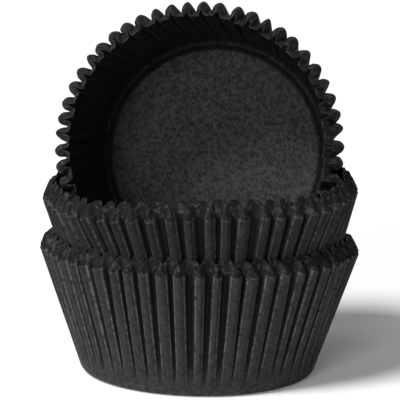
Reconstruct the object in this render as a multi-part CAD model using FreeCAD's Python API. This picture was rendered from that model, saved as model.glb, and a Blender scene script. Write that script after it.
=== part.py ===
"""A stack of three pleated paper cupcake liners, in millimetres.

Two liners stand one in the other. Their pleats are half a step apart, so the upper one stops
where its outer folds meet the inner folds of the lower one's lip. A third liner lies on its side
in the upper one, with its mouth to the front. Each liner is one folded sheet.

The origin is on the table in the middle of the bottom liner's base. +Z is up, +X is to the
right and the front, where the upright liner's mouth is, is at -Y.
"""
import FreeCAD, Part
import os
from bisect import bisect
from collections import namedtuple
from math import acos, atan2, copysign, cos, degrees, hypot, pi, radians, sin, sqrt, tan

# The sheet and its folds
paper = 0.1             # thickness of the sheet
base_radius = 25.5      # where the wall's slope would meet the table
corner_inset = 2.0      # the flat disc ends this far inside the base radius
corner_height = 1.2     # height at which the corner has turned into the wall
corner_outset = 0.4     # and how far it is outside the base radius there
wall_length = 28.9      # pleated wall, measured along its slope from the table to the crease
lip_height = 2.6        # from the crease at the wall's top to the cut edge
lip_lean = 0.9          # the lip leans inwards by this much
pleat_count = 56
crest_width = 2.0       # flat top of an outer fold
valley_width = 0.4      # flat bottom of an inner fold
lip_crest_width = 0.4   # in the lip the outer folds narrow to this at the cut edge
lip_valley_width = 2.0  # and the inner folds widen to this

# The mouth of a liner that nothing presses on is round, measured over its outer folds
mouth_radius = 35.0
# The middle one is round up to its waist, where the bottom one's lip holds it. Above that the
# upright one spreads it: narrower from side to side, longer behind and a little square
waist_length = 19.0     # from the table to the waist, along the wall's slope
middle_side = -0.7
middle_front = -0.2
middle_back = 0.6
middle_square = 2.35    # two is round, more is squarer
# The upright one is squeezed by the lip that it stands in, and hangs lower for it
upright_drop = 3.15
upright_pinch = 1.85    # its lower half is a little pointed
round_mouth = 2.0

# How the liners lie in each other
nest_gap = 0.42         # between the middle liner's folds and the lip that holds it
floor_gap = 0.3         # between the upright liner's mouth and the floor that it stands on
side_gap = 0.3          # between the upright liner and the lip on both sides of it
middle_tilt = 2.05      # degrees, right side up
upright_rise = 11.4     # degrees, mouth raised
upright_shift = 0.45    # the middle of its mouth lies this far to the left
upright_touch = 0.925   # its base meets the lip at this share of the lip's width, at the right
middle_phase = 0.5      # of a pleat, so that outer folds meet inner folds
upright_phase = 0.0

outline_steps = 720     # steps in which an outline is measured

corner_radius = base_radius + corner_outset
edge_length = wall_length + hypot(lip_lean, lip_height)
wall_flats = (crest_width, valley_width)
lip_flats = (lip_crest_width, lip_valley_width)

# An outline over the outer folds: how far it reaches to the sides, to the front and to the back,
# and how square its front and back halves are
Outline = namedtuple("Outline", "side front back front_square back_square")
Liner = namedtuple("Liner", "waist mouth phase")


def outline(distance, side=0.0, front=0.0, back=0.0, front_square=round_mouth, back_square=round_mouth):
    """The outline this far up the wall, and how much it differs from a round one."""
    radius = base_radius + distance * (mouth_radius - base_radius) / wall_length
    return Outline(radius + side, radius + front, radius + back, front_square, back_square)


def bottom_shape():
    """The bottom liner is round."""
    return Liner(outline(waist_length), outline(wall_length), 0.0)


def middle_shape():
    """The middle liner is round up to its waist."""
    mouth = outline(wall_length, middle_side, middle_front, middle_back, middle_square, middle_square)
    return Liner(outline(waist_length), mouth, middle_phase)


def upright_shape():
    """The upright liner's wall is straight, from the round base to an oval mouth.

    The mouth is as wide as the middle liner's lip leaves room for.
    """
    holder = middle_shape()
    side = holder.mouth.side - lip_inset(holder) - side_gap - mouth_radius
    share = waist_length / wall_length
    pinch = round_mouth + (upright_pinch - round_mouth) * share
    waist = outline(waist_length, side * share, upright_drop * share, side * share, pinch)
    mouth = outline(wall_length, side, upright_drop, side, upright_pinch)
    return Liner(waist, mouth, upright_phase)


def bent(value, power):
    """The value's size raised to a power, with the value's own sign."""
    return copysign(abs(value) ** power, value)


def half(line, angle):
    """How far the half of the outline that this angle is in reaches, and how square it is."""
    if sin(angle) > 0:
        return line.back, line.back_square
    return line.front, line.front_square


def outline_point(line, angle):
    """A point of an outline."""
    length, square = half(line, angle)
    return line.side * bent(cos(angle), 2 / square), length * bent(sin(angle), 2 / square)


def outline_normal(line, angle):
    """The direction straight out of an outline."""
    x, y = outline_point(line, angle)
    length, square = half(line, angle)
    out_x = bent(x / line.side, square - 1) / line.side
    out_y = bent(y / length, square - 1) / length
    return FreeCAD.Vector(out_x, out_y, 0).normalize()


def reach(line, angle):
    """How far an outline is from the axis."""
    return hypot(*outline_point(line, angle))


def running_length(line):
    """The length of the outline up to each of its steps, starting at the right."""
    lengths = [0.0]
    last = outline_point(line, 0.0)
    for step in range(1, outline_steps + 1):
        point = outline_point(line, 2 * pi * step / outline_steps)
        lengths.append(lengths[-1] + hypot(point[0] - last[0], point[1] - last[1]))
        last = point
    return lengths


def angle_at(lengths, distance):
    """The angle at which the outline has run the given distance."""
    distance = distance % lengths[-1]
    step = bisect(lengths, distance) - 1
    share = (distance - lengths[step]) / (lengths[step + 1] - lengths[step])
    return 2 * pi * (step + share) / outline_steps


def pleat_depth(sheet, pitch, flats):
    """How deep a pleat with these flats is that takes up this much sheet over this pitch."""
    return sqrt(((sheet - sum(flats)) / 2) ** 2 - ((pitch - sum(flats)) / 2) ** 2)


def sheet_per_pleat(distance):
    """The sheet was a flat disc, so its length around grows with the distance from the base."""
    return 2 * pi * (base_radius + distance) / pleat_count


def fold_rise(distance, depth):
    """How much higher an inner fold ends than an outer one: as much sheet, but it leans out less."""
    spread = distance * (mouth_radius - base_radius) / wall_length
    return sqrt(distance ** 2 - (spread - depth) ** 2) - sqrt(distance ** 2 - spread ** 2)


def base_ring(radius, height, phase):
    """Two points for each pleat, at the middle of its flanks, where the pleats have no depth yet."""
    ring = []
    for index in range(pleat_count):
        for quarter in (-0.25, 0.25):
            angle = 2 * pi * (index + phase + quarter) / pleat_count
            ring.append(FreeCAD.Vector(radius * cos(angle), radius * sin(angle), height))
    return ring


def waist_height(shape, angle):
    """The height of the waist, from the slope that the sheet has below it."""
    return sqrt(waist_length ** 2 - (reach(shape.waist, angle) - base_radius) ** 2)


def crease_height(shape, angle):
    """The height of the crease, from the slope that the sheet has between it and the waist."""
    spread = reach(shape.mouth, angle) - reach(shape.waist, angle)
    return waist_height(shape, angle) + sqrt((wall_length - waist_length) ** 2 - spread ** 2)


def pleated_ring(shape, line, height, distance, flats=wall_flats, lean=0.0, rise=0.0):
    """Four points for each pleat: both ends of its crest, then both ends of the valley after it."""
    half_crest, half_valley = (width / 2 for width in flats)
    lengths = running_length(line)
    pitch = lengths[-1] / pleat_count
    depth = pleat_depth(sheet_per_pleat(distance), pitch, flats)
    higher = fold_rise(min(distance, wall_length), depth)
    ring = []
    for index in range(pleat_count):
        crest = (index + shape.phase) * pitch
        valley = crest + pitch / 2
        crest_ends = (crest - half_crest, crest + half_crest)
        valley_ends = (valley - half_valley, valley + half_valley)
        for places, inset, lift in ((crest_ends, 0.0, 0.0), (valley_ends, depth, higher)):
            for place in places:
                angle = angle_at(lengths, place)
                x, y = outline_point(line, angle)
                point = FreeCAD.Vector(x, y, height(shape, angle) + rise + lift)
                ring.append(point - outline_normal(line, angle) * (inset + lean))
    return ring


def band(low, high, size):
    """The triangles between two rings of the same size, given where each ring starts."""
    triangles = []
    for i in range(size):
        j = (i + 1) % size
        triangles += [(low + i, low + j, high + j), (low + i, high + j, high + i)]
    return triangles


def sheet_facets(shape):
    """The outer face of a liner: its corners, its triangles, and the sizes of its disc and its edge."""
    table_ring = base_ring(base_radius - corner_inset, 0.0, shape.phase)
    corner_ring = base_ring(corner_radius, corner_height, shape.phase)
    waist = pleated_ring(shape, shape.waist, waist_height, waist_length)
    crease = pleated_ring(shape, shape.mouth, crease_height, wall_length)
    edge = pleated_ring(shape, shape.mouth, crease_height, edge_length, lip_flats, lip_lean, lip_height)
    points = table_ring + corner_ring + waist + crease + edge
    low, high = len(table_ring), len(waist)
    foot, fold = low, 2 * low
    triangles = band(0, foot, low)
    for index in range(pleat_count):
        left, right = foot + 2 * index, foot + 2 * index + 1
        after = foot + (2 * index + 2) % low
        a = fold + 4 * index
        b, c, d = a + 1, a + 2, a + 3
        following = fold + (4 * index + 4) % high
        triangles += [(left, right, b), (left, b, a), (right, c, b)]
        triangles += [(right, after, d), (right, d, c), (after, following, d)]
    triangles += band(fold, fold + high, high) + band(fold + high, fold + 2 * high, high)
    return points, triangles, low, high


def facet_normal(points, triangle):
    """The outward unit normal of a triangle."""
    a, b, c = (points[i] for i in triangle)
    return (b - a).cross(c - a).normalize()


def inner_points(points, triangles, disc_size):
    """Each corner moved in, so that it lies one sheet's thickness behind every facet that meets there."""
    normals = [[] for _ in points]
    for triangle in triangles:
        normal = facet_normal(points, triangle)
        for corner in triangle:
            normals[corner].append(normal)
    for corner in range(disc_size):
        normals[corner] += [FreeCAD.Vector(0, 0, -1)] * 3
    moved = []
    for point, around in zip(points, normals):
        moved.append(point - least_squares(around) * paper)
    return moved


def least_squares(normals):
    """The vector whose product with each of the normals is nearest to one."""
    small = 1e-4
    rows = [[small if i == j else 0.0 for j in range(3)] for i in range(3)]
    total = [0.0, 0.0, 0.0]
    for normal in normals:
        for i in range(3):
            total[i] += normal[i]
            for j in range(3):
                rows[i][j] += normal[i] * normal[j]
    matrix = FreeCAD.Matrix(rows[0][0], rows[0][1], rows[0][2], 0,
                            rows[1][0], rows[1][1], rows[1][2], 0,
                            rows[2][0], rows[2][1], rows[2][2], 0)
    return matrix.inverse().multVec(FreeCAD.Vector(*total))


def polygon_face(corners):
    """A flat face with these corners."""
    return Part.Face(Part.makePolygon(corners + corners[:1]))


def liner(shape):
    """One pleated liner standing on its base, with its axis on Z."""
    outer, triangles, disc_size, edge_size = sheet_facets(shape)
    inner = inner_points(outer, triangles, disc_size)
    faces = []
    for a, b, c in triangles:
        faces.append(polygon_face([outer[a], outer[b], outer[c]]))
        faces.append(polygon_face([inner[c], inner[b], inner[a]]))
    rim = len(outer) - edge_size
    for i in range(edge_size):
        a, b = rim + i, rim + (i + 1) % edge_size
        faces.append(polygon_face([outer[a], outer[b], inner[b]]))
        faces.append(polygon_face([outer[a], inner[b], inner[a]]))
    faces.append(polygon_face(outer[:disc_size][::-1]))
    faces.append(polygon_face(inner[:disc_size]))
    return Part.makeSolid(Part.makeShell(faces))


def lip_depth(shape):
    """How deep the pleats are at the cut edge."""
    pitch = running_length(shape.mouth)[-1] / pleat_count
    return pleat_depth(sheet_per_pleat(edge_length), pitch, lip_flats)


def lip_inset(shape):
    """How far the lip's inner folds lie inside the outer folds at the crease, sheet included."""
    return lip_lean + lip_depth(shape) + paper


def middle_placement(holder, held):
    """The middle liner hangs by its outer folds from the inner folds of the bottom one's lip."""
    room = holder.mouth.side - lip_inset(holder) - nest_gap
    waist = waist_height(held, 0.0)
    share = (room - corner_radius) / (held.waist.side - corner_radius)
    seat = corner_height + (waist - corner_height) * share
    # The lower side of a tilted cone is wider at the seat, so the axis moves to the raised side
    centring = room * (held.waist.side - base_radius) / waist * tan(radians(middle_tilt))
    turn = FreeCAD.Rotation(FreeCAD.Vector(0, 1, 0), -middle_tilt)
    top = crease_height(holder, 0.0) + lip_height + fold_rise(wall_length, lip_depth(holder))
    place = FreeCAD.Vector(centring, 0, top)
    return FreeCAD.Placement(place - turn.multVec(FreeCAD.Vector(0, 0, seat)), turn)


def upright_placement(holder, held):
    """The upright liner, in the middle liner's own frame.

    It stands on the lowest outer fold of its mouth. It is turned until its base's right side
    reaches the place where it meets the lip, and pushed back to there.
    """
    rise = radians(upright_rise)
    lowest = held.mouth.front * cos(rise) - crease_height(held, -pi / 2) * sin(rise)
    inset = lip_inset(holder) + side_gap
    right = (holder.mouth.side - inset) * upright_touch
    # Turned by yaw, the base reaches depth * sin(yaw) + corner_radius * cos(yaw) to the right of
    # the middle of the mouth
    depth = crease_height(held, 0.0)
    yaw = atan2(depth, corner_radius) - acos((right + upright_shift) / hypot(depth, corner_radius))
    back = (holder.mouth.back - inset) * (1 - upright_touch ** middle_square) ** (1 / middle_square)
    turn = FreeCAD.Rotation(FreeCAD.Vector(0, 0, 1), -degrees(yaw))
    turn = turn.multiply(FreeCAD.Rotation(FreeCAD.Vector(1, 0, 0), 90 - upright_rise))
    place = FreeCAD.Vector(right - corner_radius * cos(yaw), back + corner_radius * sin(yaw),
                           paper + floor_gap + lowest)
    return FreeCAD.Placement(place, turn)


def save(name, solid):
    """Write one liner as a file of its own."""
    solid.exportStep("parts/" + name + ".step")
    print(name, solid.ShapeType, solid.isValid(), round(solid.Volume, 3), solid.BoundBox)


os.makedirs("parts", exist_ok=True)

bottom = liner(bottom_shape())
save("bottom_liner", bottom)

middle = liner(middle_shape())
in_bottom = middle_placement(bottom_shape(), middle_shape())
middle.Placement = in_bottom
save("middle_liner", middle)

upright = liner(upright_shape())
in_middle = in_bottom.multiply(upright_placement(middle_shape(), upright_shape()))
upright.Placement = in_middle
save("upright_liner", upright)
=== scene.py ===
"""A stack of three pleated black paper cupcake liners.

Each liner is a round flat sheet that a node tree folds along its outlines, as a press does.
"""
from math import cos, hypot, pi, radians, sin, sqrt

import bpy
from bpy.props import FloatProperty, FloatVectorProperty, IntProperty, PointerProperty
from mathutils import Matrix, Vector


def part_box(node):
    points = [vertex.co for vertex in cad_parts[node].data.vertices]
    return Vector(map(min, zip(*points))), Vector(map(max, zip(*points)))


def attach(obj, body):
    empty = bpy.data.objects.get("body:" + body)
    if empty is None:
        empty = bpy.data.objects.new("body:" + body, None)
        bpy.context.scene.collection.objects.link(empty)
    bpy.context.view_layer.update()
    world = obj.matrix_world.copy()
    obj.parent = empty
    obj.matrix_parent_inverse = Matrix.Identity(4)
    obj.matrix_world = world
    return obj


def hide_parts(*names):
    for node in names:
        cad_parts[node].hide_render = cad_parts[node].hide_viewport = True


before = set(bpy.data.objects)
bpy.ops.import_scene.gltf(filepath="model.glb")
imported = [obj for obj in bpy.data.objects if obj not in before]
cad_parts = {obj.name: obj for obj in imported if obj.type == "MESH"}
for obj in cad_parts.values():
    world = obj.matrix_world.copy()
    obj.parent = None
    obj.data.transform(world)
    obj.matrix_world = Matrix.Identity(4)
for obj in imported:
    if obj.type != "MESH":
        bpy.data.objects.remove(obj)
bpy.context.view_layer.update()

bl_info = {
    "name": "Cupcake liner stack",
    "version": (1, 0, 0),
    "blender": (4, 5, 0),
    "location": "View3D > Sidebar > Liners",
    "description": "Builds a stack of three pleated paper cupcake liners",
    "category": "Add Mesh",
}

MM = 0.001
MATH = "ShaderNodeMath"
VECTOR = "ShaderNodeVectorMath"
MIX = "ShaderNodeMix"       # input 0 mixes floats 2 and 3, vectors 4 and 5, or colours 6 and 7
RANGE = "ShaderNodeMapRange"
NOISE = "ShaderNodeTexNoise"
COMBINE = "ShaderNodeCombineXYZ"
SEPARATE = "ShaderNodeSeparateXYZ"
MID_NOISE = (0.5, 0.5, 0.5)     # a noise runs from 0 to 1 on each axis

# How finely a sheet is divided
OUTLINE_POINTS = 360        # points of an outline that the pleats follow
STEPS_PER_PLEAT = 20        # corners of the sheet along one pleat
DISC_RINGS = (0.25, 0.5, 0.7, 0.87, 1.0)    # as shares of the flat disc
CORNER_RINGS = 6
WALL_RINGS = 14             # from the corner to a little under the crease
UNDER_CREASE = 1.0 * MM     # which is this far under it
CREASE_RINGS = (-0.45, -0.15, 0.0, 0.15, 0.45)      # in millimetres up from the crease
LIP_RINGS = (0.38, 0.6, 0.8, 1.0)           # as shares of the lip

# How the folds differ from each other
NOISE_AROUND = 6.0          # how fast their differences change around the liner
NOISE_ALONG = 9.0           # and along a fold, for each metre of it
CREST_LEAN = 1.25           # an outer fold's lean in the lip, as a share of Lip Lean
VALLEY_LEAN = -0.5          # added to that at an inner fold
LEAN_CHANGE = 1.6           # how unevenly they lean
DENTS = 2.0 * MM            # width of a dent in the lip

LEAST_FLANK = 0.01 * MM     # a flank has some sheet even on the disc, where no pleat is
LEAST_CLIMB = 1.0 * MM      # and the rise of an inner fold is worked out from here up
RISE = 0.53                 # half, over the cosine of the wall's slope

# Real sizes of the marks in the paper
CLOUD = 1.0 * MM            # a cloud of fibres
FIBRE = 0.3 * MM            # the width of a single fibre
FIBRE_SQUEEZE = 0.45        # its width over its length, so it is 0.7 mm long
WRINKLES = 7.0 * MM         # from one wrinkle to the next
WRINKLED = 11.0 * MM        # from one wrinkled place to the next
SPECKS = 4.0 * MM           # from one pale speck to the next
CRUSHED = 1.5 * MM          # a crushed patch of the lip
TUFT = 0.4 * MM             # a tuft of fibre at the cut edge
RELIEF = 0.04 * MM          # how high the fibres stand
PAPER_IOR = 1.5
PAPER_SHINE = 0.06          # its Specular IOR Level, low because the dyed paper is dull

# Where a finish of the paper starts to change and where it has changed, up the wall from where
# its slope would meet the table, so that the disc and most of the corner are below zero
BASE_SHADOW_STARTS = (-2.3 * MM, -1.6 * MM)      # the painted contact shadow round the base, from the disc
BASE_SHADOW_ENDS = (-0.8 * MM, -0.1 * MM)        # to the wall
VALLEY_PAINTED_SHADE = (2 * MM, 8 * MM)             # painted shade in the inner folds
INSIDE_PAINTED_SHADE = (-2.1 * MM, -1.5 * MM)        # and painted shade on the wall inside the liner
RUBBED_AND_HIGHLIT = (2 * MM, 12 * MM)                  # the folds that are rubbed pale, partly a painted highlight
SMOOTHED_AND_DISC_LIGHT = (0.0, 3 * MM)                    # the fibres that the press has smoothed, and painted light on the disc
CREASE_WIDTH = 0.3 * MM                     # of the painted highlight along the crease under the lip

# The stage
FLOOR_GLOW = 0.08           # the tabletop's own light, for the camera and reflections only
SKY_SEEN, SKY_FELT = 1.0, 0.12      # strength of the white round it, to the eye and as light
LAMPS = (                   # each one's direction from the table, strength and width in degrees
    ("window", (-0.65, -0.68, 1.0), 3.55, 18.0),
    ("softbox", (-0.3, -0.9, 0.22), 1.6, 21.0),
    ("side", (-1.0, -0.12, 0.2), 1.0, 25.0),
)


def millimetres(name, value, description):
    """A length property, given in millimetres."""
    return FloatProperty(name=name, description=description, default=value * MM, unit="LENGTH",
                         subtype="DISTANCE", precision=5)


def colour(name, code, description):
    """A colour property, given as an sRGB hex code."""
    return FloatVectorProperty(name=name, description=description, subtype="COLOR", size=4,
                               default=linear(code), min=0.0, max=1.0)


def linear(code):
    """An sRGB hex code as linear red, green, blue and alpha."""
    values = []
    for start in (1, 3, 5):
        value = int(code[start:start + 2], 16) / 255
        values.append(value / 12.92 if value <= 0.04045 else ((value + 0.055) / 1.055) ** 2.4)
    return (*values, 1.0)


class LinerSheet(bpy.types.PropertyGroup):
    """The sheet and its folds, the same in every liner."""
    paper: millimetres("Paper", 0.1, "Thickness of the sheet")
    base_radius: millimetres("Base Radius", 25.5, "Where the wall's slope would meet the table")
    corner_inset: millimetres("Corner Inset", 2.0, "The flat disc ends this far inside the base")
    corner_run: millimetres("Corner Run", 1.6, "The corner has become the wall this far up it")
    fade: millimetres("Pleat Fade", 4.5, "Above the corner the pleats deepen over this length")
    waist_length: millimetres("Waist Length", 19.0, "From the table to the waist, up the wall")
    wall_length: millimetres("Wall Length", 28.9, "From the table to the crease, up the wall")
    lip_height: millimetres("Lip Height", 2.6, "From the crease to the cut edge")
    lip_lean: millimetres("Lip Lean", 0.9, "The lip leans in by this much")
    mouth_radius: millimetres("Mouth Radius", 35.0, "The open mouth, over its outer folds")
    valley_width: millimetres("Valley Width", 0.3, "Bottom of an inner fold")
    lip_crest: millimetres("Lip Crest Width", 0.4, "Outer folds narrow to this at the cut edge")
    lip_valley: millimetres("Lip Valley Width", 2.0, "Inner folds widen to this at the cut edge")
    arch: FloatProperty(name="Arch", default=0.42, min=0.0, max=0.5,
                        description="How round an outer fold's top is, as a share of the depth")
    lip_arch: millimetres("Lip Arch", 0.8, "The cut edge rises by this much from crest to valley")
    crumple: millimetres("Crumple", 0.35, "How far the lip is crushed out of shape")
    width_change: FloatProperty(name="Width Change", default=1.2, min=0.0,
                                description="How unevenly wide the outer folds are, as a share")
    pleats: IntProperty(name="Pleats", description="Pleats around a liner", default=56, min=12)
    shift: FloatProperty(name="Fold Shift", default=0.6, min=0.0,
                         description="How unevenly the folds are spaced, in pleats")
    depth_change: FloatProperty(name="Depth Change", default=0.55, min=0.0,
                                description="How unevenly deep the pleats are, as a share")


class LinerShape(bpy.types.PropertyGroup):
    """How one liner's mouth differs from a round one."""
    side: millimetres("Side", 0.0, "The mouth reaches this much further to the sides")
    front: millimetres("Front", 0.0, "And this much further to the front")
    back: millimetres("Back", 0.0, "And this much further to the back")
    front_square: FloatProperty(name="Front Square", default=2.0, min=1.0,
                                description="Two is round, more is squarer, less is pointed")
    back_square: FloatProperty(name="Back Square", default=2.0, min=1.0,
                               description="The same for the back half")
    round_waist: FloatProperty(name="Round Waist", default=0.0, min=0.0, max=1.0,
                               description="One keeps the wall round up to its waist")
    crest: millimetres("Crest Width", 2.0, "Top of an outer fold")
    deepening: FloatProperty(name="Deepening", default=0.25, min=0.0,
                             description="Makes the pleats deeper by this share")
    tone: FloatProperty(name="Tone", default=0.0, min=0.0, max=1.0,
                        description="How much more dye this sheet took up than the others")
    phase: FloatProperty(name="Phase", default=0.0,
                         description="Where the first fold is, in pleats")
    seed: FloatProperty(name="Seed", default=0.0, description="Picks the unevenness of its folds")


class LinerLooks(bpy.types.PropertyGroup):
    """Colours of the paper and of the stage."""
    paper: colour("Paper", "#232324", "Black dyed greaseproof paper")
    fibre: colour("Fibre", "#3a3a3c", "Paler fibres in the paper")
    # Painted shade in folds, inner face, base band and lip; also a darker sheet's dye
    shade_and_dye_colour: colour("Deep Fold", "#070708", "Full dye, kept in the inner folds")
    # Rubbed folds, partly a painted highlight on the crests' edges
    fold: colour("Fold", "#5c5c60", "Paper rubbed pale along a sharp fold")
    # Also the colour of the painted highlight along the crease
    cut: colour("Cut Edge", "#545457", "The sheet's cut edge, paler than its dyed faces")
    floor: colour("Floor", "#f4f4f4", "Pale tabletop")


class LinerStack(bpy.types.PropertyGroup):
    """All the settings of the stack."""
    sheet: PointerProperty(type=LinerSheet, name="Sheet", description="The sheet and its folds")
    bottom: PointerProperty(type=LinerShape, name="Bottom", description="The bottom liner")
    middle: PointerProperty(type=LinerShape, name="Middle", description="The middle liner")
    upright: PointerProperty(type=LinerShape, name="Upright", description="The upright liner")
    looks: PointerProperty(type=LinerLooks, name="Looks", description="Colours")


def set_shapes(stack):
    """The three liners' own shapes, in millimetres where they are lengths."""
    shapes = {
        "bottom": dict(seed=3.0),
        "middle": dict(side=-0.7, front=-0.2, back=0.6, front_square=2.35, back_square=2.35,
                       round_waist=1.0, phase=0.5, tone=0.4, seed=11.0),
        "upright": dict(side=-3.8, front=3.15, back=-3.8, front_square=1.85, crest=2.7,
                        deepening=0.6, seed=27.0),
    }
    lengths = ("side", "front", "back", "crest")
    for name, values in shapes.items():
        shape = getattr(stack, name)
        for key, value in values.items():
            setattr(shape, key, value * MM if key in lengths else value)


def first_output(value):
    """A socket as it is, or the output of a node that is in use."""
    if isinstance(value, bpy.types.NodeSocket):
        return value
    return next(socket for socket in value.outputs if socket.enabled)


def add(tree, kind, inputs=(), **settings):
    """Add a node with its settings, and link or set its inputs, given in order or by key."""
    node = tree.nodes.new(kind)
    for name, value in settings.items():
        setattr(node, name, value)
    for key, value in inputs.items() if isinstance(inputs, dict) else enumerate(inputs):
        if isinstance(value, (bpy.types.NodeSocket, bpy.types.Node)):
            tree.links.new(first_output(value), node.inputs[key])
        else:
            node.inputs[key].default_value = value
    return node


def fold_tree():
    """The tree that folds a flat round sheet into a liner.

    Each point of the sheet is known by its distance from the middle and its angle. The angle gives
    its pleat and where on that pleat it is. The distance gives how far up the wall it is, and how
    much more sheet than outline there is, which sets how deep the pleats are.
    """
    tree = bpy.data.node_groups.new("fold_liner", "GeometryNodeTree")
    lengths = ("Base Radius", "Corner Inset", "Corner Run", "Pleat Fade", "Waist Length",
               "Wall Length", "Lip Height", "Lip Lean", "Crest Width", "Valley Width",
               "Lip Crest Width", "Lip Valley Width", "Lip Arch", "Crumple")
    numbers = ("Pleats", "Phase", "Tone", "Flare", "Seed", "Fold Shift", "Depth Change", "Arch",
               "Width Change", "Deepening")
    tree.interface.new_socket("Sheet", in_out="INPUT", socket_type="NodeSocketGeometry")
    for name in lengths + numbers:
        tree.interface.new_socket(name, in_out="INPUT", socket_type="NodeSocketFloat")
    for name in ("Waist Outline", "Mouth Outline"):
        tree.interface.new_socket(name, in_out="INPUT", socket_type="NodeSocketObject")
    tree.interface.new_socket("Paper", in_out="INPUT", socket_type="NodeSocketMaterial")
    tree.interface.new_socket("Liner", in_out="OUTPUT", socket_type="NodeSocketGeometry")
    size = add(tree, "NodeGroupInput").outputs

    # Where the point is on the flat sheet
    point = add(tree, "GeometryNodeInputPosition")
    parts = add(tree, SEPARATE, (point,))
    radius = add(tree, VECTOR, (point,), operation="LENGTH").outputs["Value"]
    outward = add(tree, VECTOR, (point,), operation="NORMALIZE")
    angle = add(tree, MATH, (parts.outputs["Y"], parts.outputs["X"]), operation="ARCTAN2")
    climbed = add(tree, MATH, (radius, size["Base Radius"]), operation="SUBTRACT")

    # Noise that changes from fold to fold and only slowly along a fold
    spread_out = add(tree, VECTOR, {0: outward, "Scale": NOISE_AROUND}, operation="SCALE")
    along = add(tree, MATH, (radius, NOISE_ALONG, size["Seed"]), operation="MULTIPLY_ADD")
    lifted = add(tree, COMBINE, {"Z": along})
    place = add(tree, VECTOR, (spread_out, lifted), operation="ADD")
    noise = add(tree, NOISE, {"Vector": place, "Scale": 1.0, "Detail": 1.0}, noise_dimensions="3D")
    centred = add(tree, VECTOR, (noise.outputs["Color"], MID_NOISE), operation="SUBTRACT")
    uneven = add(tree, SEPARATE, (centred,))
    push = add(tree, MATH, (uneven.outputs["X"], size["Fold Shift"]), operation="MULTIPLY")
    offset = add(tree, MATH, (size["Phase"], push), operation="SUBTRACT")

    # Which pleat, and how far from the middle of its crest along the sheet
    per_turn = add(tree, MATH, (size["Pleats"], 2 * pi), operation="DIVIDE")
    turned = add(tree, MATH, (angle, per_turn), operation="MULTIPLY")
    counted = add(tree, MATH, (turned, offset), operation="SUBTRACT")
    pleat = add(tree, MATH, (counted, 0.5), operation="ADD")
    pleat = add(tree, MATH, (pleat,), operation="FLOOR")
    beside = add(tree, MATH, (counted, pleat), operation="SUBTRACT")
    which_side = add(tree, MATH, (beside,), operation="SIGN")
    away = add(tree, MATH, (beside,), operation="ABSOLUTE")
    sheet_half = add(tree, MATH, (radius, per_turn), operation="DIVIDE")
    sheet_half = add(tree, MATH, (sheet_half, 0.5), operation="MULTIPLY")
    along_sheet = add(tree, MATH, (away, sheet_half), operation="MULTIPLY")
    along_sheet = add(tree, MATH, (along_sheet, 2.0), operation="MULTIPLY")

    # The outlines, and how far up between them the point is
    to_waist = add(tree, RANGE, {"Value": climbed, "From Max": size["Waist Length"]})
    to_mouth = add(tree, RANGE, {"Value": climbed, "From Min": size["Waist Length"],
                                 "From Max": size["Wall Length"]})
    waist = add(tree, "GeometryNodeObjectInfo", (size["Waist Outline"],)).outputs["Geometry"]
    mouth = add(tree, "GeometryNodeObjectInfo", (size["Mouth Outline"],)).outputs["Geometry"]
    foot_round = add(tree, MATH, (size["Base Radius"], 2 * pi), operation="MULTIPLY")
    waist_round = add(tree, "GeometryNodeCurveLength", (waist,))
    mouth_round = add(tree, "GeometryNodeCurveLength", (mouth,))
    around = add(tree, MIX, {0: to_waist, 2: foot_round, 3: waist_round}, data_type="FLOAT")
    around = add(tree, MIX, {0: to_mouth, 2: around, 3: mouth_round}, data_type="FLOAT")
    outline_half = add(tree, MATH, (around, size["Pleats"]), operation="DIVIDE")
    outline_half = add(tree, MATH, (outline_half, 0.5), operation="MULTIPLY")

    # In the lip the outer folds narrow and the inner folds widen
    lip = add(tree, COMBINE, (size["Lip Height"], size["Lip Lean"]))
    lip = add(tree, VECTOR, (lip,), operation="LENGTH").outputs["Value"]
    edge = add(tree, MATH, (lip, size["Wall Length"]), operation="ADD")
    up_lip = add(tree, RANGE, {"Value": climbed, "From Min": size["Wall Length"], "From Max": edge})
    crest = add(tree, MIX, {0: up_lip, 2: size["Crest Width"], 3: size["Lip Crest Width"]},
                data_type="FLOAT")
    wider = add(tree, MATH, (uneven.outputs["Z"], size["Width Change"], 1.0),
                operation="MULTIPLY_ADD")
    crest = add(tree, MATH, (crest, wider), operation="MULTIPLY")
    crest = add(tree, MATH, (crest, 0.5), operation="MULTIPLY")
    valley = add(tree, MIX, {0: up_lip, 2: size["Valley Width"], 3: size["Lip Valley Width"]},
                 data_type="FLOAT")
    valley = add(tree, MATH, (valley, 0.5), operation="MULTIPLY")

    # The flank between the crest and the valley takes up the spare sheet
    flats = add(tree, MATH, (crest, valley), operation="ADD")
    flank_sheet = add(tree, MATH, (sheet_half, flats), operation="SUBTRACT")
    flank_sheet = add(tree, MATH, (flank_sheet, LEAST_FLANK), operation="MAXIMUM")
    flank_run = add(tree, MATH, (outline_half, flats), operation="SUBTRACT")
    sheet_square = add(tree, MATH, (flank_sheet, flank_sheet), operation="MULTIPLY")
    run_square = add(tree, MATH, (flank_run, flank_run), operation="MULTIPLY")
    depth = add(tree, MATH, (sheet_square, run_square), operation="SUBTRACT")
    depth = add(tree, MATH, (depth, 0.0), operation="MAXIMUM")
    depth = add(tree, MATH, (depth,), operation="SQRT")
    fade_end = add(tree, MATH, (size["Corner Run"], size["Pleat Fade"]), operation="ADD")
    fade = add(tree, RANGE, {"Value": climbed, "From Min": size["Corner Run"],
                             "From Max": fade_end}, interpolation_type="SMOOTHSTEP")
    depth = add(tree, MATH, (depth, fade), operation="MULTIPLY")
    deeper = add(tree, MATH, (size["Deepening"], 1.0), operation="ADD")
    valley_start = add(tree, MATH, (sheet_half, valley), operation="SUBTRACT")

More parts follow.
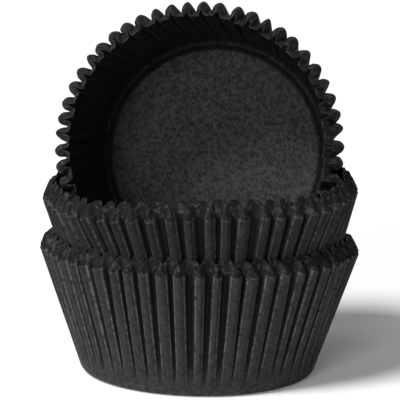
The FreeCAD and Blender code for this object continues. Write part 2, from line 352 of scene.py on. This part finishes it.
    # How far down the fold the point is. A flank is half way between straight and rounded, and
    # the crest between two flanks is an arch.
    flank = {"Value": along_sheet, "From Min": crest, "From Max": valley_start}
    down = add(tree, RANGE, flank)
    round_down = add(tree, RANGE, flank, interpolation_type="SMOOTHSTEP")
    soft_down = add(tree, MIX, {0: 0.5, 2: down, 3: round_down}, data_type="FLOAT")
    on_crest = add(tree, MATH, (along_sheet, crest), operation="MINIMUM")
    over_crest = add(tree, MATH, (on_crest, crest), operation="DIVIDE")
    arch = add(tree, MATH, (over_crest, 2.0), operation="POWER")
    arch = add(tree, MATH, (arch, size["Arch"]), operation="MULTIPLY")
    soft_down = add(tree, MIX, {0: soft_down, 2: arch, 3: 1.0}, data_type="FLOAT")
    on_valley = add(tree, MATH, (along_sheet, valley_start), operation="SUBTRACT")
    on_valley = add(tree, MATH, (on_valley, 0.0), operation="MAXIMUM")
    along_outline = add(tree, MATH, (down, flank_run, on_crest), operation="MULTIPLY_ADD")
    along_outline = add(tree, MATH, (along_outline, on_valley), operation="ADD")

    # The point on each outline, and the direction out of it
    share = add(tree, MATH, (along_outline, outline_half), operation="DIVIDE")
    share = add(tree, MATH, (share, 0.5), operation="MULTIPLY")
    place = add(tree, MATH, (share, which_side, pleat), operation="MULTIPLY_ADD")
    place = add(tree, MATH, (place, offset), operation="ADD")
    place = add(tree, MATH, (place, size["Pleats"]), operation="DIVIDE")
    place = add(tree, MATH, (place,), operation="FRACT")
    turn = add(tree, MATH, (place, 2 * pi), operation="MULTIPLY")
    foot_x = add(tree, MATH, (turn,), operation="COSINE")
    foot_y = add(tree, MATH, (turn,), operation="SINE")
    foot = add(tree, COMBINE, (foot_x, foot_y))
    foot = add(tree, VECTOR, {0: foot, "Scale": size["Base Radius"]}, operation="SCALE")
    on_waist, on_mouth = (add(tree, "GeometryNodeSampleCurve",
                              {"Curves": outline, "Factor": place}, mode="FACTOR")
                          for outline in (waist, mouth))
    wall = add(tree, MIX, {0: to_waist, 4: foot, 5: on_waist.outputs["Position"]},
               data_type="VECTOR")
    wall = add(tree, MIX, {0: to_mouth, 4: wall, 5: on_mouth.outputs["Position"]},
               data_type="VECTOR")
    tangent = add(tree, MIX, {0: to_mouth, 4: on_waist.outputs["Tangent"],
                              5: on_mouth.outputs["Tangent"]}, data_type="VECTOR")
    outside = add(tree, VECTOR, (tangent, (0.0, 0.0, 1.0)), operation="CROSS_PRODUCT")
    outside = add(tree, VECTOR, (outside,), operation="NORMALIZE")

    # The lip bends in above the crease. An inner fold climbs more steeply, so it ends higher.
    lean = add(tree, MATH, (uneven.outputs["Z"], LEAN_CHANGE, CREST_LEAN),
               operation="MULTIPLY_ADD")
    lean = add(tree, MATH, (down, VALLEY_LEAN, lean), operation="MULTIPLY_ADD")
    lean = add(tree, MATH, (lean, size["Lip Lean"]), operation="MULTIPLY")
    lean = add(tree, MATH, (lean, up_lip), operation="MULTIPLY")
    change = add(tree, MATH, (uneven.outputs["Y"], size["Depth Change"], 1.0),
                 operation="MULTIPLY_ADD")
    uneven_depth = add(tree, MATH, (depth, change), operation="MULTIPLY")
    uneven_depth = add(tree, MATH, (uneven_depth, deeper), operation="MULTIPLY")
    inward = add(tree, MATH, (uneven_depth, soft_down, lean), operation="MULTIPLY_ADD")
    below = add(tree, MATH, (climbed, size["Wall Length"]), operation="MINIMUM")
    below = add(tree, MATH, (below, LEAST_CLIMB), operation="MAXIMUM")
    ratio = add(tree, MATH, (depth, below), operation="DIVIDE")
    double_flare = add(tree, MATH, (size["Flare"], 2.0), operation="MULTIPLY")
    ratio = add(tree, MATH, (double_flare, ratio), operation="SUBTRACT")
    higher = add(tree, MATH, (ratio, depth), operation="MULTIPLY")
    higher = add(tree, MATH, (higher, soft_down), operation="MULTIPLY")
    higher = add(tree, MATH, (higher, RISE), operation="MULTIPLY")
    height = add(tree, MATH, (up_lip, size["Lip Height"], higher), operation="MULTIPLY_ADD")
    arched = add(tree, RANGE, {"Value": away, "From Max": 0.5, "To Max": size["Lip Arch"]},
                 interpolation_type="SMOOTHSTEP")
    height = add(tree, MATH, (up_lip, arched, height), operation="MULTIPLY_ADD")
    height = add(tree, COMBINE, {"Z": height})
    folded = add(tree, VECTOR, (wall, height), operation="ADD")
    inward = add(tree, VECTOR, {0: outside, "Scale": inward}, operation="SCALE")
    folded = add(tree, VECTOR, (folded, inward), operation="SUBTRACT")

    # Handling has crushed the lip a little, by up to Crumple to either side
    dents = add(tree, NOISE, {"Vector": point, "Scale": 1 / DENTS, "Detail": 1.0})
    dents = add(tree, VECTOR, (dents.outputs["Color"], MID_NOISE), operation="SUBTRACT")
    crushed = add(tree, MATH, (size["Crumple"], up_lip), operation="MULTIPLY")
    crushed = add(tree, MATH, (crushed, 2.0), operation="MULTIPLY")
    dents = add(tree, VECTOR, {0: dents, "Scale": crushed}, operation="SCALE")
    folded = add(tree, VECTOR, (folded, dents), operation="ADD")

    # The corner is a curve from the flat disc, by way of the foot, to the wall
    disc_end = add(tree, MATH, (size["Corner Inset"], -1.0), operation="MULTIPLY")
    disc_radius = add(tree, MATH, (size["Base Radius"], disc_end), operation="ADD")
    disc = add(tree, VECTOR, {0: outward, "Scale": disc_radius}, operation="SCALE")
    bend = add(tree, RANGE, {"Value": climbed, "From Min": disc_end,
                             "From Max": size["Corner Run"]})
    corner_share = add(tree, MATH, (size["Corner Run"], size["Waist Length"]), operation="DIVIDE")
    low_wall = add(tree, MIX, {0: corner_share, 4: foot, 5: on_waist.outputs["Position"]},
                   data_type="VECTOR")
    before = add(tree, MIX, {0: bend, 4: disc, 5: foot}, data_type="VECTOR")
    after = add(tree, MIX, {0: bend, 4: foot, 5: low_wall}, data_type="VECTOR")
    corner = add(tree, MIX, {0: bend, 4: before, 5: after}, data_type="VECTOR")
    on_wall = add(tree, MATH, (climbed, size["Corner Run"]), operation="GREATER_THAN")
    past_disc = add(tree, MATH, (climbed, disc_end), operation="GREATER_THAN")
    shape = add(tree, MIX, {0: on_wall, 4: corner, 5: folded}, data_type="VECTOR")
    shape = add(tree, MIX, {0: past_disc, 4: point, 5: shape}, data_type="VECTOR")

    # The way across the fold is kept for the paper's material, as -1 in the middle of the crest,
    # 0 where the flank starts and 1 at the valley, and so is the way up
    across = add(tree, MATH, (down, over_crest), operation="ADD")
    across = add(tree, MATH, (across, 1.0), operation="SUBTRACT")
    marked = size["Sheet"]
    for name, value in (("fold", across), ("climb", climbed), ("tone", size["Tone"])):
        marked = add(tree, "GeometryNodeStoreNamedAttribute",
                     {"Geometry": marked, "Name": name, "Value": value}, data_type="FLOAT")
    done = add(tree, "GeometryNodeSetPosition", {"Geometry": marked, "Position": shape})
    done = add(tree, "GeometryNodeSetShadeSmooth", {"Geometry": done})
    done = add(tree, "GeometryNodeRealizeInstances", {"Geometry": done})
    done = add(tree, "GeometryNodeSetMaterial", {"Geometry": done, "Material": size["Paper"]})
    add(tree, "NodeGroupOutput", (done,))
    return tree


def bent(value, power):
    """The value's size raised to a power, with the value's own sign."""
    return abs(value) ** power * (1 if value >= 0 else -1)


def outline_points(sheet, shape, length):
    """Points of the outline this far up the wall, each as x and y."""
    share = length / sheet.wall_length
    change = 0.0 if length < sheet.wall_length and shape.round_waist else share
    radius = sheet.base_radius + share * (sheet.mouth_radius - sheet.base_radius)
    points = []
    for step in range(OUTLINE_POINTS):
        angle = 2 * pi * step / OUTLINE_POINTS
        reach, square = (shape.back, shape.back_square) if sin(angle) > 0 else \
            (shape.front, shape.front_square)
        power = 2 / (2 + (square - 2) * change)
        points.append(((radius + shape.side * change) * bent(cos(angle), power),
                       (radius + reach * change) * bent(sin(angle), power)))
    return points


def outline_curve(name, points):
    """A closed curve through the points."""
    curve = bpy.data.curves.new(name, "CURVE")
    curve.dimensions = "3D"
    spline = curve.splines.new("POLY")
    spline.points.add(len(points) - 1)
    spline.use_cyclic_u = True
    for corner, (x, y, z) in zip(spline.points, points):
        corner.co = (x, y, z, 1.0)
    outline = bpy.data.objects.new(name, curve)
    bpy.context.scene.collection.objects.link(outline)
    return outline


def outlines(name, sheet, shape):
    """The waist's and the mouth's outlines, each as high as the sloping sheet reaches."""
    waist, mouth = [], []
    upper = sheet.wall_length - sheet.waist_length
    low = outline_points(sheet, shape, sheet.waist_length)
    high = outline_points(sheet, shape, sheet.wall_length)
    for (wx, wy), (mx, my) in zip(low, high):
        height = sqrt(sheet.waist_length ** 2 - (hypot(wx, wy) - sheet.base_radius) ** 2)
        waist.append((wx, wy, height))
        spread = hypot(mx, my) - hypot(wx, wy)
        mouth.append((mx, my, height + sqrt(upper ** 2 - spread ** 2)))
    return outline_curve(name + "_waist", waist), outline_curve(name + "_mouth", mouth)


def ring_radii(sheet):
    """The flat sheet's rings: few on the disc, and close together where it bends."""
    base, wall = sheet.base_radius, sheet.wall_length
    lip = hypot(sheet.lip_height, sheet.lip_lean)
    disc_end = base - sheet.corner_inset
    radii = [disc_end * share for share in DISC_RINGS]
    corner = sheet.corner_inset + sheet.corner_run
    radii += [disc_end + corner * step / CORNER_RINGS for step in range(1, CORNER_RINGS + 1)]
    start, stop = sheet.corner_run, wall - UNDER_CREASE
    radii += [base + start + (stop - start) * step / WALL_RINGS
              for step in range(1, WALL_RINGS + 1)]
    radii += [base + wall + step * MM for step in CREASE_RINGS]
    radii += [base + wall + lip * share for share in LIP_RINGS]
    return radii


def flat_sheet(name, sheet):
    """The round sheet before it is folded, in rings around its middle."""
    around = sheet.pleats * STEPS_PER_PLEAT
    turns = [(cos(2 * pi * i / around), sin(2 * pi * i / around)) for i in range(around)]
    corners = [(0.0, 0.0, 0.0)]
    faces = [(0, 1 + (i + 1) % around, 1 + i) for i in range(around)]
    for row, radius in enumerate(ring_radii(sheet)):
        corners += [(radius * x, radius * y, 0.0) for x, y in turns]
        if row:
            low = 1 + (row - 1) * around
            for i in range(around):
                j = (i + 1) % around
                faces.append((low + i, low + j, low + around + j, low + around + i))
    return mesh_object(name, corners, faces)


def mesh_object(name, corners, faces):
    """A new mesh object in the scene."""
    mesh = bpy.data.meshes.new(name)
    mesh.from_pydata(corners, [], faces)
    mesh.update()
    piece = bpy.data.objects.new(name, mesh)
    bpy.context.scene.collection.objects.link(piece)
    return piece


def base_disc(node):
    """The middle of a solid liner's flat base, and the direction from it to the liner's mouth.

    The disc's two faces are the largest flat ones, and the outer one is further from the middle.
    """
    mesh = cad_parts[node].data
    areas = {}
    for face in mesh.polygons:
        key = tuple(round(value, 2) for value in face.normal)
        total, moment = areas.get(key, (0.0, Vector()))
        areas[key] = total + face.area, moment + face.center * face.area
    discs = sorted(areas.values(), key=lambda disc: disc[0])[-2:]
    low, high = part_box(node)
    middles = [moment / total for total, moment in discs]
    liner_middle = (low + high) / 2
    middles.sort(key=lambda middle: (middle - liner_middle).length)
    inner, outer = middles
    return outer, (inner - outer).normalized()


def placing(node, side_of):
    """The matrix that puts a liner where its solid is, with its X axis square to the given one."""
    middle, axis = base_disc(node)
    across = side_of.cross(axis).normalized()
    turn = Matrix((across, axis.cross(across), axis)).transposed().to_4x4()
    return Matrix.Translation(middle) @ turn


def evaluated_mesh(piece):
    """The piece's mesh with its modifiers applied."""
    graph = bpy.context.evaluated_depsgraph_get()
    return bpy.data.meshes.new_from_object(piece.evaluated_get(graph), depsgraph=graph)


def fold_liner(name, node, shape, matrix):
    """Fold a sheet into a liner, put it in its place, give it its thickness and its finish."""
    stack = bpy.context.scene.liner_stack
    sheet = stack.sheet
    liner = flat_sheet(name, sheet)
    waist, mouth = outlines(name, sheet, shape)
    # The inner face gets a copy of the paper that painted shade darkens all over
    paper, cut, painted_shade_inside = greaseproof_paper(False), cut_edge(), greaseproof_paper(True)
    values = {"Base Radius": sheet.base_radius, "Corner Inset": sheet.corner_inset,
              "Corner Run": sheet.corner_run, "Pleat Fade": sheet.fade,
              "Waist Length": sheet.waist_length, "Wall Length": sheet.wall_length,
              "Lip Height": sheet.lip_height, "Lip Lean": sheet.lip_lean,
              "Crest Width": shape.crest, "Valley Width": sheet.valley_width,
              "Lip Crest Width": sheet.lip_crest, "Lip Valley Width": sheet.lip_valley,
              "Arch": sheet.arch, "Lip Arch": sheet.lip_arch, "Crumple": sheet.crumple,
              "Width Change": sheet.width_change, "Deepening": shape.deepening,
              "Pleats": float(sheet.pleats), "Phase": shape.phase, "Seed": shape.seed,
              "Tone": shape.tone,
              "Flare": (sheet.mouth_radius - sheet.base_radius) / sheet.wall_length,
              "Fold Shift": sheet.shift, "Depth Change": sheet.depth_change,
              "Waist Outline": waist, "Mouth Outline": mouth, "Paper": paper}
    tree = bpy.data.node_groups.get("fold_liner") or fold_tree()
    folding = liner.modifiers.new("Fold", "NODES")
    folding.node_group = tree
    for item in tree.interface.items_tree:
        if item.in_out == "INPUT" and item.name in values:
            folding[item.identifier] = values[item.name]
    mesh = evaluated_mesh(liner)
    liner.modifiers.remove(folding)
    for outline in (waist, mouth):
        bpy.data.objects.remove(outline)
    mesh.transform(matrix)
    mesh.materials.clear()
    finishes = [paper, cut, painted_shade_inside]
    for finish in finishes:
        mesh.materials.append(finish)
    liner.data = mesh
    wall = liner.modifiers.new("Thickness", "SOLIDIFY")
    wall.thickness = sheet.paper
    wall.offset = -1.0
    wall.use_quality_normals = True
    wall.material_offset = finishes.index(painted_shade_inside)
    wall.material_offset_rim = finishes.index(cut)
    liner.data = evaluated_mesh(liner)
    liner.modifiers.remove(wall)
    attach(liner, "root")
    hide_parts(node)
    return liner


def new_material(name):
    """A new material with an empty node tree."""
    material = bpy.data.materials.new(name)
    material.use_nodes = True
    material.node_tree.nodes.clear()
    return material


def greaseproof_paper(painted_shade_inside):
    """Black dyed greaseproof paper, pressed between hot dies: smooth and dull, with a faint cloud
    of fibres that is stronger on the disc, as painted light. Sharp folds wear paler, partly as a
    painted highlight, and the crease has a painted highlight. Painted shade darkens the inner
    folds, the corner and the lip, and the copy for the wall's inner face all over."""
    name = "black_paper_inside_painted_shade" if painted_shade_inside else "black_greaseproof_paper"
    made = bpy.data.materials.get(name)
    if made:
        return made
    settings = bpy.context.scene.liner_stack
    looks, crease = settings.looks, settings.sheet.wall_length
    material = new_material(name)
    tree = material.node_tree
    where = add(tree, "ShaderNodeTexCoord").outputs["Object"]
    fold, climb, tone = (add(tree, "ShaderNodeAttribute", attribute_name=mark).outputs["Fac"]
                         for mark in ("fold", "climb", "tone"))

    # Clouds of fibre about 1.0 mm across, and single fibres 0.3 mm wide and 0.7 mm long
    cloud = add(tree, NOISE, {"Vector": where, "Scale": 1 / CLOUD, "Detail": 3.0})
    lying = add(tree, "ShaderNodeMapping", {"Vector": where, "Scale": (1.0, 1.0, FIBRE_SQUEEZE)})
    fibres = add(tree, NOISE, {"Vector": lying, "Scale": 1 / FIBRE, "Detail": 2.0})
    mottle = add(tree, MATH, (cloud, fibres), operation="MULTIPLY")
    mottle = add(tree, RANGE, {"Value": mottle, "From Min": 0.17, "From Max": 0.36})
    # The press has smoothed the wall, so its fibres show less than the disc's. The disc's
    # stronger pale fibres are also painted light on it
    smoothed_and_disc_light = add(tree, RANGE, {"Value": climb, "From Min": SMOOTHED_AND_DISC_LIGHT[0],
                                 "From Max": SMOOTHED_AND_DISC_LIGHT[1], "To Min": 1.3, "To Max": 0.5})
    shown = add(tree, MATH, (mottle, smoothed_and_disc_light), operation="MULTIPLY")

    # Fine wrinkles, about 7 mm apart and only in places
    wavy = add(tree, NOISE, {"Vector": where, "Scale": 1 / WRINKLES, "Detail": 2.0,
                             "Distortion": 0.6})
    wrinkle = add(tree, MATH, (wavy, 0.5), operation="SUBTRACT")
    wrinkle = add(tree, MATH, (wrinkle,), operation="ABSOLUTE")
    wrinkle = add(tree, RANGE, {"Value": wrinkle, "From Max": 0.012, "To Min": 1.0, "To Max": 0.0})
    places = add(tree, NOISE, {"Vector": where, "Scale": 1 / WRINKLED})
    places = add(tree, RANGE, {"Value": places, "From Min": 0.52, "From Max": 0.6})
    wrinkle = add(tree, MATH, (wrinkle, places), operation="MULTIPLY")
    shown = add(tree, MATH, (wrinkle, 0.6, shown), operation="MULTIPLY_ADD")
    body = add(tree, MIX, {0: shown, 6: looks.paper, 7: looks.fibre}, data_type="RGBA")

    # Pale specks of undyed fibre, 0.3 mm across and about 4 mm apart
    specks = add(tree, "ShaderNodeTexVoronoi", {"Vector": where, "Scale": 1 / SPECKS})
    specks = add(tree, RANGE, {"Value": specks.outputs["Distance"], "From Min": 0.03,
                               "From Max": 0.045, "To Min": 0.6, "To Max": 0.0})
    body = add(tree, MIX, {0: specks, 6: body, 7: looks.cut}, data_type="RGBA")

    # A sharp fold has its dye rubbed off where the flank leaves the crest, made strong
    # enough to be partly a painted highlight
    from_fold = add(tree, MATH, (fold,), operation="ABSOLUTE")
    rubbed_and_highlight = add(tree, RANGE, {"Value": from_fold, "From Max": 0.22, "To Min": 1.0, "To Max": 0.0})
    high = add(tree, RANGE, {"Value": climb, "From Min": RUBBED_AND_HIGHLIT[0], "From Max": RUBBED_AND_HIGHLIT[1],
                             "To Max": 0.85})
    rubbed_and_highlight = add(tree, MATH, (rubbed_and_highlight, high), operation="MULTIPLY")
    worn = add(tree, RANGE, {"Value": cloud, "From Min": 0.3, "From Max": 0.55})
    rubbed_and_highlight = add(tree, MATH, (rubbed_and_highlight, worn), operation="MULTIPLY")
    tint = add(tree, MIX, {0: rubbed_and_highlight, 6: body, 7: looks.fold}, data_type="RGBA")

    # The inner folds are never rubbed. Painted shade darkens them, and on the inside
    # the rest of the wall too.
    starts, between, darkest = (INSIDE_PAINTED_SHADE, 0.6, 0.5) if painted_shade_inside else (VALLEY_PAINTED_SHADE, 0.0, 0.85)
    painted_shade_and_dye = add(tree, RANGE, {"Value": fold, "From Min": 0.05, "From Max": 0.6, "To Min": between})
    shade_up_the_wall = add(tree, RANGE, {"Value": climb, "From Min": starts[0], "From Max": starts[1],
                               "To Max": darkest})
    painted_shade_and_dye = add(tree, MATH, (painted_shade_and_dye, shade_up_the_wall), operation="MULTIPLY")
    # Painted shade: a dark band round the base, a painted contact shadow
    off_disc = add(tree, RANGE, {"Value": climb, "From Min": BASE_SHADOW_STARTS[0],
                                 "From Max": BASE_SHADOW_STARTS[1]})
    under = add(tree, RANGE, {"Value": climb, "From Min": BASE_SHADOW_ENDS[0],
                              "From Max": BASE_SHADOW_ENDS[1], "To Min": 1.0, "To Max": 0.0})
    corner = add(tree, MATH, (off_disc, under), operation="MULTIPLY")
    painted_shade_and_dye = add(tree, MATH, (painted_shade_and_dye, corner), operation="MAXIMUM")
    # Painted shade on the lip, above the crease
    above = add(tree, RANGE, {"Value": climb, "From Min": crease,
                              "From Max": crease + CREASE_WIDTH, "To Max": 0.85})
    painted_shade_and_dye = add(tree, MATH, (painted_shade_and_dye, above), operation="MAXIMUM")
    # And a sheet that took up more dye is at least this dark all over
    painted_shade_and_dye = add(tree, MATH, (painted_shade_and_dye, tone), operation="MAXIMUM")
    # Mix in the colour of the painted shade and of a darker sheet's full dye
    tint = add(tree, MIX, {0: painted_shade_and_dye, 6: tint, 7: looks.shade_and_dye_colour}, data_type="RGBA")

    # Painted highlight along the crease across each outer fold, about 0.3 mm wide, in patches
    from_crease = add(tree, MATH, (climb, crease), operation="SUBTRACT")
    from_crease = add(tree, MATH, (from_crease,), operation="ABSOLUTE")
    crease_highlight = add(tree, RANGE, {"Value": from_crease, "From Max": CREASE_WIDTH, "To Min": 0.28,
                                "To Max": 0.0})
    outer = add(tree, RANGE, {"Value": fold, "From Max": 0.3, "To Min": 1.0, "To Max": 0.0})
    crease_highlight = add(tree, MATH, (crease_highlight, outer), operation="MULTIPLY")
    patches = add(tree, RANGE, {"Value": cloud, "From Min": 0.4, "From Max": 0.6})
    crease_highlight = add(tree, MATH, (crease_highlight, patches), operation="MULTIPLY")
    tint = add(tree, MIX, {0: crease_highlight, 6: tint, 7: looks.cut}, data_type="RGBA")
    # Where the lip was crushed its dye is cracked, in patches about 1.5 mm across
    crush = add(tree, NOISE, {"Vector": where, "Scale": 1 / CRUSHED, "Detail": 4.0,
                              "Roughness": 0.7})
    crush = add(tree, RANGE, {"Value": crush, "From Min": 0.52, "From Max": 0.7, "To Max": 0.5})
    crush = add(tree, MATH, (crush, above), operation="MULTIPLY")
    tint = add(tree, MIX, {0: crush, 6: tint, 7: looks.cut}, data_type="RGBA")

    # Dull, a little less so where the fibres lie close, and faintly uneven to the touch
    rough = add(tree, RANGE, {"Value": mottle, "To Min": 0.7, "To Max": 0.55})
    relief = add(tree, MATH, (cloud, 0.6, mottle), operation="MULTIPLY_ADD")
    bump = add(tree, "ShaderNodeBump", {"Height": relief, "Strength": 0.25, "Distance": RELIEF})
    surface = add(tree, "ShaderNodeBsdfPrincipled",
                  {"Base Color": tint, "Roughness": rough, "IOR": PAPER_IOR,
                   "Specular IOR Level": PAPER_SHINE, "Normal": bump})
    add(tree, "ShaderNodeOutputMaterial", {"Surface": surface})
    return material


def cut_edge():
    """The sheet's cut edge: torn fibres that the dye didn't reach, so it is pale and rough."""
    made = bpy.data.materials.get("cut_paper_edge")
    if made:
        return made
    looks = bpy.context.scene.liner_stack.looks
    material = new_material("cut_paper_edge")
    tree = material.node_tree
    where = add(tree, "ShaderNodeTexCoord").outputs["Object"]
    # Tufts of fibre about 0.4 mm long
    tufts = add(tree, NOISE, {"Vector": where, "Scale": 1 / TUFT, "Detail": 2.0})
    share = add(tree, RANGE, {"Value": tufts, "From Min": 0.5, "From Max": 0.75})
    tint = add(tree, MIX, {0: share, 6: looks.paper, 7: looks.cut}, data_type="RGBA")
    surface = add(tree, "ShaderNodeBsdfPrincipled",
                  {"Base Color": tint, "Roughness": 0.85, "IOR": PAPER_IOR,
                   "Specular IOR Level": PAPER_SHINE})
    add(tree, "ShaderNodeOutputMaterial", {"Surface": surface})
    return material


class LINERS_OT_bottom(bpy.types.Operator):
    """Add the bottom liner, which stands on the table"""
    bl_idname = "liners.bottom"
    bl_label = "Bottom Liner"

    def execute(self, context):
        place = placing("bottom_liner", Vector((0, 1, 0)))
        fold_liner("bottom_paper_liner", "bottom_liner", context.scene.liner_stack.bottom, place)
        return {"FINISHED"}


class LINERS_OT_middle(bpy.types.Operator):
    """Add the middle liner, which stands in the bottom one"""
    bl_idname = "liners.middle"
    bl_label = "Middle Liner"

    def execute(self, context):
        place = placing("middle_liner", Vector((0, 1, 0)))
        fold_liner("middle_paper_liner", "middle_liner", context.scene.liner_stack.middle, place)
        return {"FINISHED"}


class LINERS_OT_upright(bpy.types.Operator):
    """Add the upright liner, which lies on its side in the middle one"""
    bl_idname = "liners.upright"
    bl_label = "Upright Liner"

    def execute(self, context):
        up = base_disc("middle_liner")[1]
        place = placing("upright_liner", up)
        fold_liner("upright_paper_liner", "upright_liner", context.scene.liner_stack.upright, place)
        return {"FINISHED"}


def add_camera():
    """A camera at the photograph's place, with its long lens and its slight roll."""
    focal_pixels, image_width = 2085.6, 400
    pitch, roll = 0.1711, 0.0203        # in radians
    data = bpy.data.cameras.new("camera")
    data.sensor_width = 36.0
    data.lens = focal_pixels * data.sensor_width / image_width
    data.clip_start, data.clip_end = 0.01, 20.0
    right = Vector((1, 0, 0))
    ahead = Vector((0, cos(pitch), -sin(pitch)))
    up = Vector((0, sin(pitch), cos(pitch)))
    across = right * cos(roll) + up * sin(roll)
    above = up * cos(roll) - right * sin(roll)
    turn = Matrix((across, above, -ahead)).transposed().to_4x4()
    camera = bpy.data.objects.new("camera", data)
    place = Vector((-0.12, -450, 115.5)) * MM
    camera.matrix_world = Matrix.Translation(place) @ turn
    bpy.context.scene.collection.objects.link(camera)
    bpy.context.scene.camera = camera


def add_sun(name, towards, strength, spread):
    """A distant lamp in this direction, as wide as this angle."""
    data = bpy.data.lights.new(name, "SUN")
    data.energy = strength
    data.angle = radians(spread)
    lamp = bpy.data.objects.new(name, data)
    lamp.rotation_euler = Vector(towards).to_track_quat("Z", "Y").to_euler()
    bpy.context.scene.collection.objects.link(lamp)


def seen_rays(tree):
    """One on the rays that make what the eye sees, also in metal and glass, and else zero."""
    rays = add(tree, "ShaderNodeLightPath").outputs
    seen = add(tree, MATH, (rays["Is Camera Ray"], rays["Is Glossy Ray"]), operation="MAXIMUM")
    return add(tree, MATH, (seen, rays["Is Transmission Ray"]), operation="MAXIMUM")


def add_floor():
    """A pale matt tabletop that runs out of sight."""
    looks = bpy.context.scene.liner_stack.looks
    half = 3.0      # metres
    corners = [(-half, -half, 0), (half, -half, 0), (half, half, 0), (-half, half, 0)]
    floor = mesh_object("tabletop", corners, [(0, 1, 2, 3)])
    # Laminate with a matt face, which scatters light evenly and has no shine
    material = new_material("pale_laminate")
    tree = material.node_tree
    matt = add(tree, "ShaderNodeBsdfDiffuse", {"Color": looks.floor})
    glow = add(tree, MATH, (seen_rays(tree), FLOOR_GLOW), operation="MULTIPLY")
    light = add(tree, "ShaderNodeEmission", {"Strength": glow})
    surface = add(tree, "ShaderNodeAddShader", (matt, light))
    add(tree, "ShaderNodeOutputMaterial", {"Surface": surface})
    floor.data.materials.append(material)


def add_world():
    """Plain light from all round, and white behind."""
    world = bpy.data.worlds.new("studio")
    bpy.context.scene.world = world
    world.use_nodes = True
    tree = world.node_tree
    tree.nodes.clear()
    strength = add(tree, RANGE, {"Value": seen_rays(tree), "To Min": SKY_FELT,
                                 "To Max": SKY_SEEN})
    sky = add(tree, "ShaderNodeBackground", {"Color": (1, 1, 1, 1), "Strength": strength})
    add(tree, "ShaderNodeOutputWorld", {"Surface": sky})


class LINERS_OT_stage(bpy.types.Operator):
    """Add the tabletop, the lights and the camera"""
    bl_idname = "liners.stage"
    bl_label = "Stage"

    def execute(self, context):
        add_floor()
        add_world()
        add_camera()
        for lamp in LAMPS:
            add_sun(*lamp)
        context.scene.view_settings.view_transform = "Standard"
        return {"FINISHED"}


class LINERS_PT_panel(bpy.types.Panel):
    """The pieces of the stack, in the sidebar."""
    bl_idname = "LINERS_PT_panel"
    bl_label = "Cupcake Liners"
    bl_space_type = "VIEW_3D"
    bl_region_type = "UI"
    bl_category = "Liners"

    def draw(self, context):
        stack = context.scene.liner_stack
        for name in ("bottom", "middle", "upright", "stage"):
            self.layout.operator("liners." + name)
        for group in (stack.sheet, stack.looks):
            for name in group.__annotations__:
                self.layout.prop(group, name)


CLASSES = (LinerSheet, LinerShape, LinerLooks, LinerStack, LINERS_OT_bottom, LINERS_OT_middle,
           LINERS_OT_upright, LINERS_OT_stage, LINERS_PT_panel)


def register():
    for group in CLASSES:
        bpy.utils.register_class(group)
    bpy.types.Scene.liner_stack = PointerProperty(type=LinerStack)


def unregister():
    del bpy.types.Scene.liner_stack
    for group in reversed(CLASSES):
        bpy.utils.unregister_class(group)


def main():
    register()
    set_shapes(bpy.context.scene.liner_stack)
    bpy.ops.liners.bottom()
    bpy.ops.liners.middle()
    bpy.ops.liners.upright()
    bpy.ops.liners.stage()


if __name__ == "__main__":
    main()
